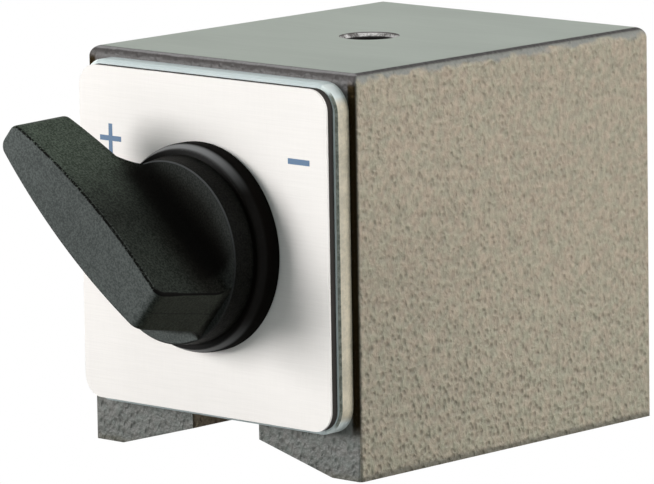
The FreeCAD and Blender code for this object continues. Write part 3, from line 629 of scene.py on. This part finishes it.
def grained_black():
    plastic = Finish("grained_black_plastic")
    across, along, upward = plastic.facing()
    out = LABEL_FRONT - plastic.y
    up = plastic.z - KNOB_AXIS
    toward_tip = LEAN_COS * up - LEAN_SIN * plastic.x
    beside = abs(LEAN_COS * plastic.x + LEAN_SIN * up)
    from_axis = (plastic.x * plastic.x + up * up).math("SQRT")
    to_end = LEAN_SIN * across - LEAN_COS * upward
    to_side = abs(LEAN_COS * across + LEAN_SIN * upward)
    forward = -along
    wing_face = forward.rise(0.72, 0.92) * out.rise(*WING_FACE)
    hub_face = forward.rise(0.72, 0.92) * out.fall(*HUB_FACE)
    rim = out.band(*RIM_REACH)
    spark = plastic.noise(0.28, detail=2.0, roughness=0.7)
    blot = plastic.noise(1.6, detail=2.0)
    grained = wing_face.most(hub_face).most(0.5 * rim)
    fleck = (0.85 * spark + 0.15 * blot).rise(0.34, 0.68)

    # the smooth sides: dark olive, darkened to black toward the hub as painted shade, and paler toward the
    # tip and along the outer edge as painted light
    deep = plastic.blend(fleck, DEEP_LOW, DEEP_HIGH)
    olive = plastic.blend(fleck, OLIVE_LOW, OLIVE_HIGH)
    near_edge = out.rise(9.0, 15.0) * toward_tip.fall(0.0, 12.0)
    paler = toward_tip.rise(-8.0, 16.0).most(0.70 * near_edge) * out.rise(*LEVER_ROOT)
    smooth = plastic.blend(paler, deep, olive)
    # painted light: the sides brighten further toward the tip
    smooth = plastic.shade(smooth, toward_tip.rise(3.0, 18.0), WHITE, TIP_PAINTED_LIGHT)
    end = toward_tip.fall(*BLUNT_END) * to_end.rise(0.55, 0.75) * out.rise(7.3, 8.3)
    smooth = plastic.blend(end, smooth, plastic.blend(fleck, END_LOW, END_HIGH))
    smooth = plastic.shade(smooth, rim, WHITE, grey(RIM_SHADE))

    # the grained faces: the lever's outer face, a faint ring near the hub's rim, and a patch below the
    # lever's end
    rough = plastic.blend(fleck, ROUGH_LOW, ROUGH_HIGH)
    # painted light: the lever's outer face brightens toward its tip
    rough = plastic.shade(rough, toward_tip.rise(6.0, 36.0), grey(WING_FOOT_SHADE), grey(WING_TIP_SHADE))
    # painted light and shadow: the patch below the lever's end is lit grain, and the rest of the hub's
    # face stays black as the lever's painted shadow
    below = hub_face * up.fall(-11.2, -10.0) * plastic.x.fall(4.0, 9.0)
    speckled_area = wing_face.most(hub_face * 0.26 * from_axis.rise(9.0, 12.4)).most(below)
    colour = plastic.blend(speckled_area, smooth, rough)

    # the hollow at the lever's root, painted black as shade, its edges with a painted dark reflection, the
    # hub's ridge with a painted highlight, and the mould's parting line
    foot = out.fall(7.8, 12.5) * beside.fall(6.0, 11.0) * toward_tip.band(-9.5, -8.0, 10.0, 13.5)
    colour = plastic.blend(0.9 * foot * (1.0 - below), colour, ROOT_SHADE_BLACK)
    long_edge = to_side.rise(0.22, 0.45) * out.rise(11.0, 13.0)
    lip = forward.band(0.22, 0.34, 0.42, 0.50) * long_edge
    colour = plastic.blend(0.7 * lip * spark.rise(0.40, 0.60), colour, LIP_GREY)
    # painted reflection: dark lines along the lever's long edges and at the corners of its blunt end
    arris = forward.band(0.45, 0.60, 0.88, 0.98) * long_edge * spark.fall(0.48, 0.66)
    outer = 0.22 * out.rise(13.0, 16.5)
    crease = (to_side + outer).rise(0.45, 0.60) * (to_end + outer).rise(0.32, 0.48) * out.rise(7.2, 8.2)
    colour = plastic.blend(arris.most(crease), colour, EDGE_REFLECTION_BLACK)
    # a paler line along the hub's edge, brightened toward the top as a painted highlight
    ridge = from_axis.rise(*RIDGE_RADIUS) * out.band(*RIDGE_REACH)
    colour = plastic.blend((0.25 + 0.6 * up.rise(-2.0, 10.0)) * ridge, colour, RIDGE_HIGHLIGHT_GREY)
    seam = beside.fall(0.03, 0.10) * toward_tip.fall(-9.3, -8.7) * out.rise(7.2, 8.0)
    plastic.surface(
        base_color=plastic.blend(0.5 * seam, colour, SEAM_BLACK),
        roughness=0.52 + 0.10 * grained + 0.20 * foot.most(crease) - 0.04 * blot,
        ior=PLASTIC_IOR,
        normal=plastic.bump(
            spark * (0.50 + 0.50 * grained), 0.08, 1.0,
            under=plastic.bump(blot, 0.03, 0.3)),
    )
    return plastic


wear(grained_black(), "knob")

# Studio: a pale floor that runs out of view, the main soft lamp in front on the left, a weak one in
# front on the right, one on each side at the back and one overhead. The camera stands where the
# photograph was taken.

CAMERA_AZIMUTH = math.radians(43.0909)
CAMERA_ELEVATION = math.radians(9.3992)
CAMERA_ROLL = math.radians(-0.9302)
CAMERA_DISTANCE = 0.89786
CAMERA_LENS = 355.99
SENSOR_WIDTH = 36.0
NEAR_CLIP = 0.01
BLOCK_MIDDLE = (0.0, 0.0, 0.0275)
PICTURE_RIGHT = 0.0062878
PICTURE_UP = -0.0013688
LAMP_AIM = (0.0, 0.0, 0.03)
COOL_WHITE = (0.74, 1.0, 1.0)
LAMPS = (
    ("front_lamp", (-0.81, -0.97, 0.29), 15.0, 0.60, WHITE),
    ("fill_lamp", (0.75, -1.15, 0.25), 2.3, 0.9, COOL_WHITE),
    ("right_lamp", (1.10, 0.75, 0.60), 20.8, 1.4, WHITE),
    ("overhead_lamp", (-0.10, -0.05, 1.15), 4.0, 1.0, WHITE),
    ("back_lamp", (-0.85, 0.95, 0.25), 3.1, 1.0, WHITE),
)
FLOOR_GREY = 0.42
FLOOR_MOTTLE = 0.005
FLOOR_REACH = 6.0
SKY_LEVEL = 0.04


def stand_camera():
    az, el, roll = CAMERA_AZIMUTH, CAMERA_ELEVATION, CAMERA_ROLL
    back = Vector((math.sin(az) * math.cos(el), -math.cos(az) * math.cos(el), math.sin(el)))
    level = Vector((math.cos(az), math.sin(az), 0.0))
    upright = back.cross(level)
    right = math.cos(roll) * level + math.sin(roll) * upright
    up = math.cos(roll) * upright - math.sin(roll) * level
    target = Vector(BLOCK_MIDDLE) - PICTURE_RIGHT * right + PICTURE_UP * up
    camera = bpy.data.objects.new("camera", bpy.data.cameras.new("camera"))
    camera.data.sensor_fit = "HORIZONTAL"
    camera.data.sensor_width = SENSOR_WIDTH
    camera.data.lens = CAMERA_LENS
    camera.data.clip_start = NEAR_CLIP
    turn = Matrix((right, up, back)).transposed().to_4x4()
    camera.matrix_world = Matrix.Translation(target + back * CAMERA_DISTANCE) @ turn
    bpy.context.scene.collection.objects.link(camera)
    bpy.context.scene.camera = camera


def soft_lamp(name, place, power, size, colour):
    """A square lamp that faces the middle of the block."""
    lamp = bpy.data.lights.new(name, "AREA")
    lamp.energy = power
    lamp.size = size
    lamp.color = colour
    stand = bpy.data.objects.new(name, lamp)
    stand.location = place
    stand.rotation_euler = (Vector(place) - Vector(LAMP_AIM)).to_track_quat("Z", "Y").to_euler()
    bpy.context.scene.collection.objects.link(stand)


def pale_floor():
    mesh = bpy.data.meshes.new("floor")
    sheet = bmesh.new()
    bmesh.ops.create_grid(sheet, x_segments=8, y_segments=8, size=FLOOR_REACH)
    sheet.to_mesh(mesh)
    sheet.free()
    paper = Finish("pale_paper")
    fibre = paper.noise(6.0, detail=2.0)
    tone = paper.blend(fibre, grey(FLOOR_GREY - FLOOR_MOTTLE), grey(FLOOR_GREY + FLOOR_MOTTLE))
    paper.surface(base_color=tone, roughness=0.9)
    seen = paper.node("LightPath", {}, {}, "Is Camera Ray")
    white = paper.node("Emission", {}, {"Color": (*WHITE, 1.0), "Strength": 1.0})
    output = next(node for node in paper.tree.nodes if node.type == "OUTPUT_MATERIAL")
    lit = Value(paper, paper.shader.outputs[0])
    mixed = paper.node("MixShader", {}, {0: seen, 1: lit, 2: white})
    paper.tree.links.new(mixed.socket, output.inputs["Surface"])
    mesh.materials.append(paper.material)
    floor = bpy.data.objects.new("floor", mesh)
    bpy.context.scene.collection.objects.link(floor)


def pale_sky():
    world = bpy.data.worlds.new("studio")
    world.use_nodes = True
    tree = world.node_tree
    sky = next(node for node in tree.nodes if node.type == "BACKGROUND")
    path = tree.nodes.new("ShaderNodeLightPath")
    level = tree.nodes.new("ShaderNodeMapRange")
    level.inputs["To Min"].default_value = SKY_LEVEL
    level.inputs["To Max"].default_value = 1.0
    tree.links.new(path.outputs["Is Camera Ray"], level.inputs["Value"])
    tree.links.new(level.outputs[0], sky.inputs["Strength"])
    sky.inputs["Color"].default_value = (*WHITE, 1.0)
    bpy.context.scene.world = world


stand_camera()
pale_floor()
pale_sky()
for lamp in LAMPS:
    soft_lamp(*lamp)
bpy.context.scene.view_settings.view_transform = "Standard"
